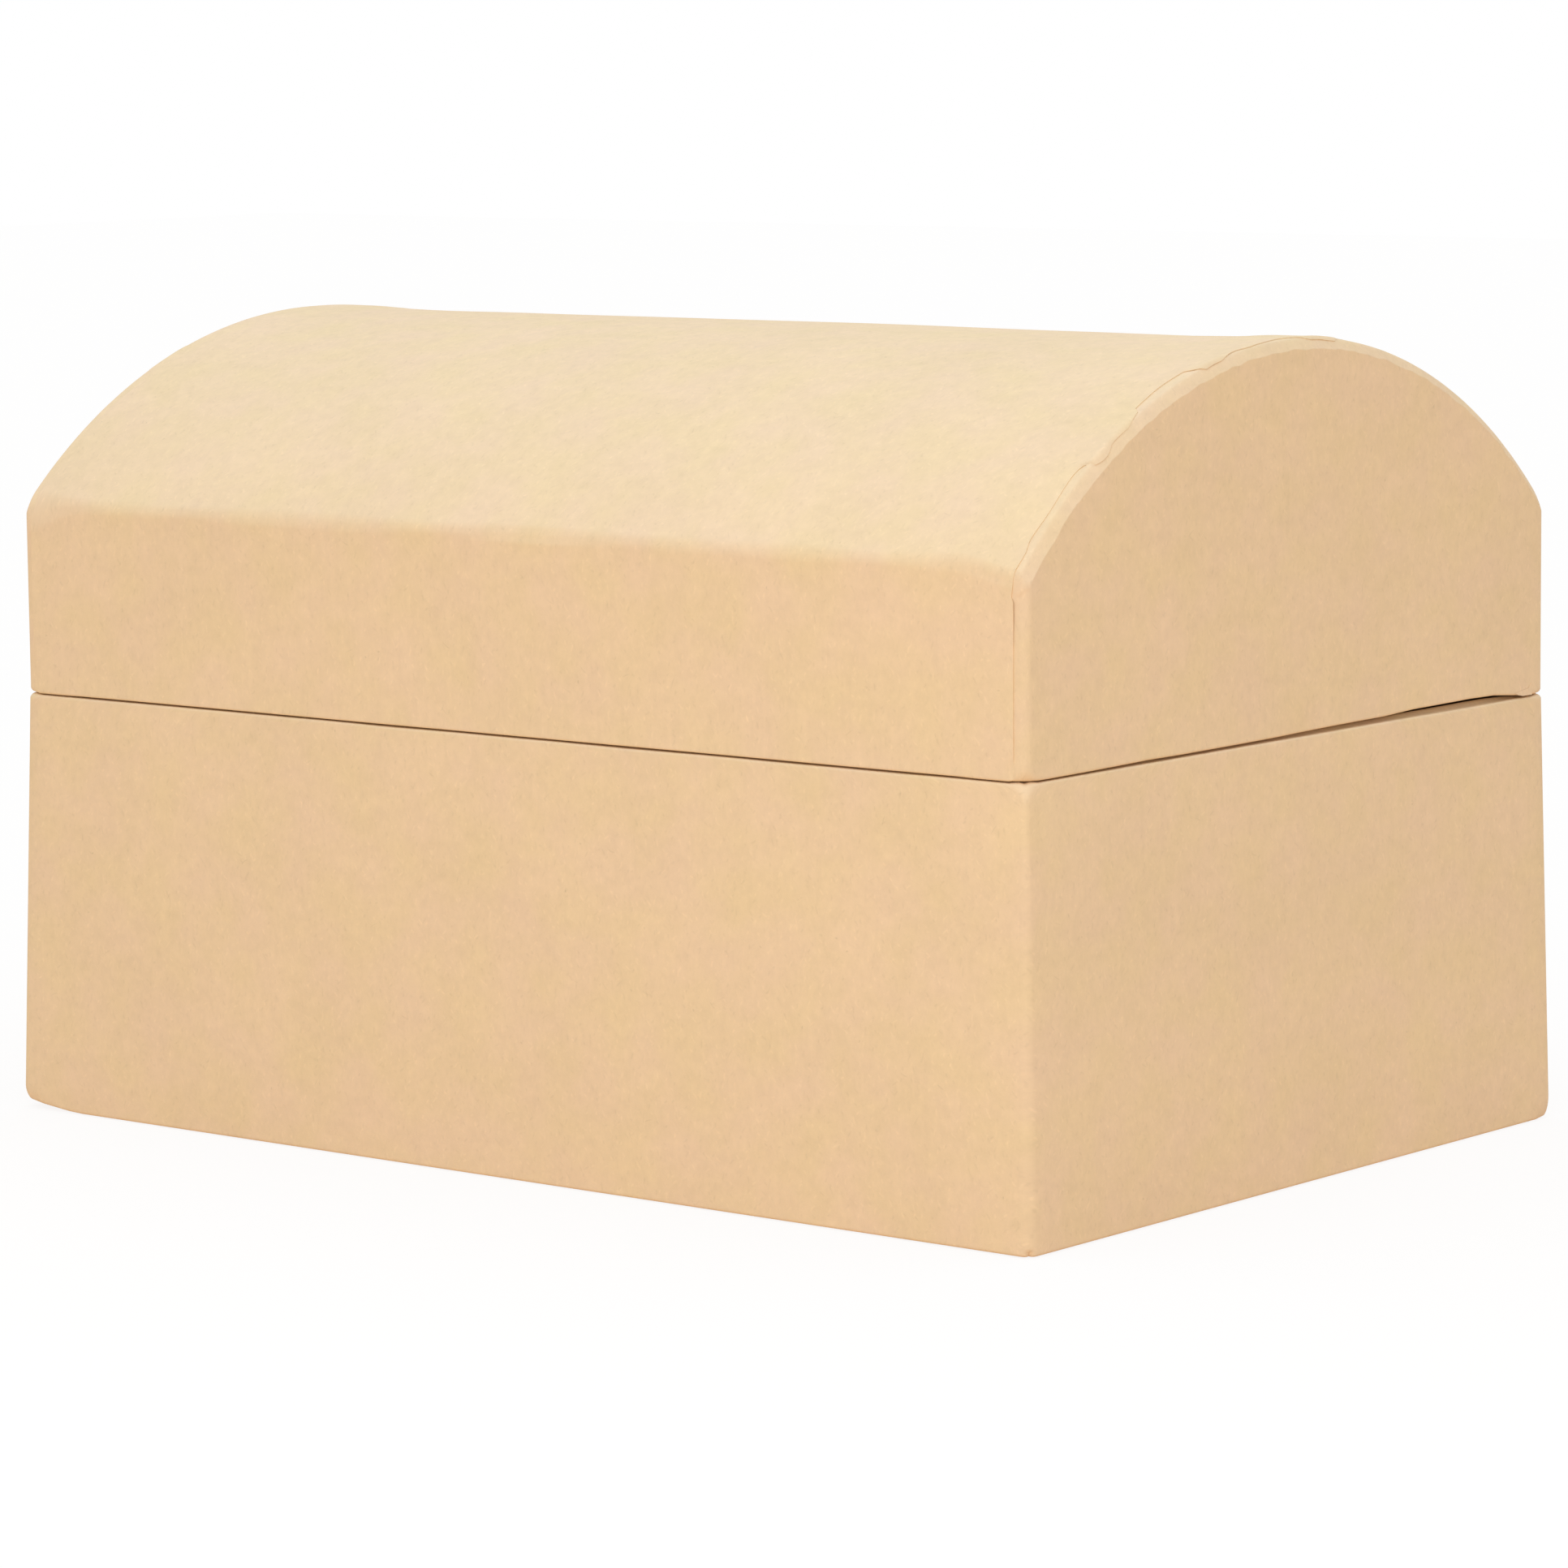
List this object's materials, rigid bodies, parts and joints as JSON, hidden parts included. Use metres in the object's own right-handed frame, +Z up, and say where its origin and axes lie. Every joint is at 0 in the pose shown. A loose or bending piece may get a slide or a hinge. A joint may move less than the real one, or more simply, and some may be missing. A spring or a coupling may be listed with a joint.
{
  "type": "treasure chest box",
  "caption": "Kraft-paper covered chipboard keepsake chest: a low rectangular base and a domed lid with arched ends that swings on a paper hinge at the back.",
  "frame": {"origin": "on the table under the middle of the box", "axes": "+X along the length, -Y to the front, +Y to the hinge, +Z up"},
  "size_m": [0.203, 0.1373, 0.1275],
  "materials": {
    "kraft_wrap": "matt uncoated kraft",
    "kraft_lining": "matt uncoated kraft",
    "hinge_paper": "matt uncoated kraft",
    "stay_paper": "matt gummed tape",
    "grey_board": "matt grey chipboard"
  },
  "bodies": {
    "base": {"base_floor_board": "grey_board", "base_front_board": "grey_board", "base_back_board": "grey_board", "base_left_board": "grey_board", "base_right_board": "grey_board", "base_corner_stays": "stay_paper", "base_outer_wrap": "kraft_wrap", "base_bottom_sheet": "kraft_wrap", "base_wall_lining": "kraft_lining", "base_floor_lining": "kraft_lining", "hinge_strip": "hinge_paper"},
    "lid": {"lid_front_board": "grey_board", "lid_back_board": "grey_board", "lid_left_end_board": "grey_board", "lid_right_end_board": "grey_board", "lid_dome_board": "grey_board", "lid_corner_stays": "stay_paper", "lid_left_end_wrap": "kraft_wrap", "lid_right_end_wrap": "kraft_wrap", "lid_top_wrap": "kraft_wrap", "lid_left_end_lining": "kraft_lining", "lid_right_end_lining": "kraft_lining", "lid_dome_lining": "kraft_lining"}
  },
  "joints": [
    {"name": "lid_hinge", "type": "hinge", "parent": "base", "child": "lid", "pos_m": [0, 0.06895, 0.06815], "axis": [-1, 0, 0], "range_deg": [0, 175], "deforming": ["hinge_strip"]}
  ]
}
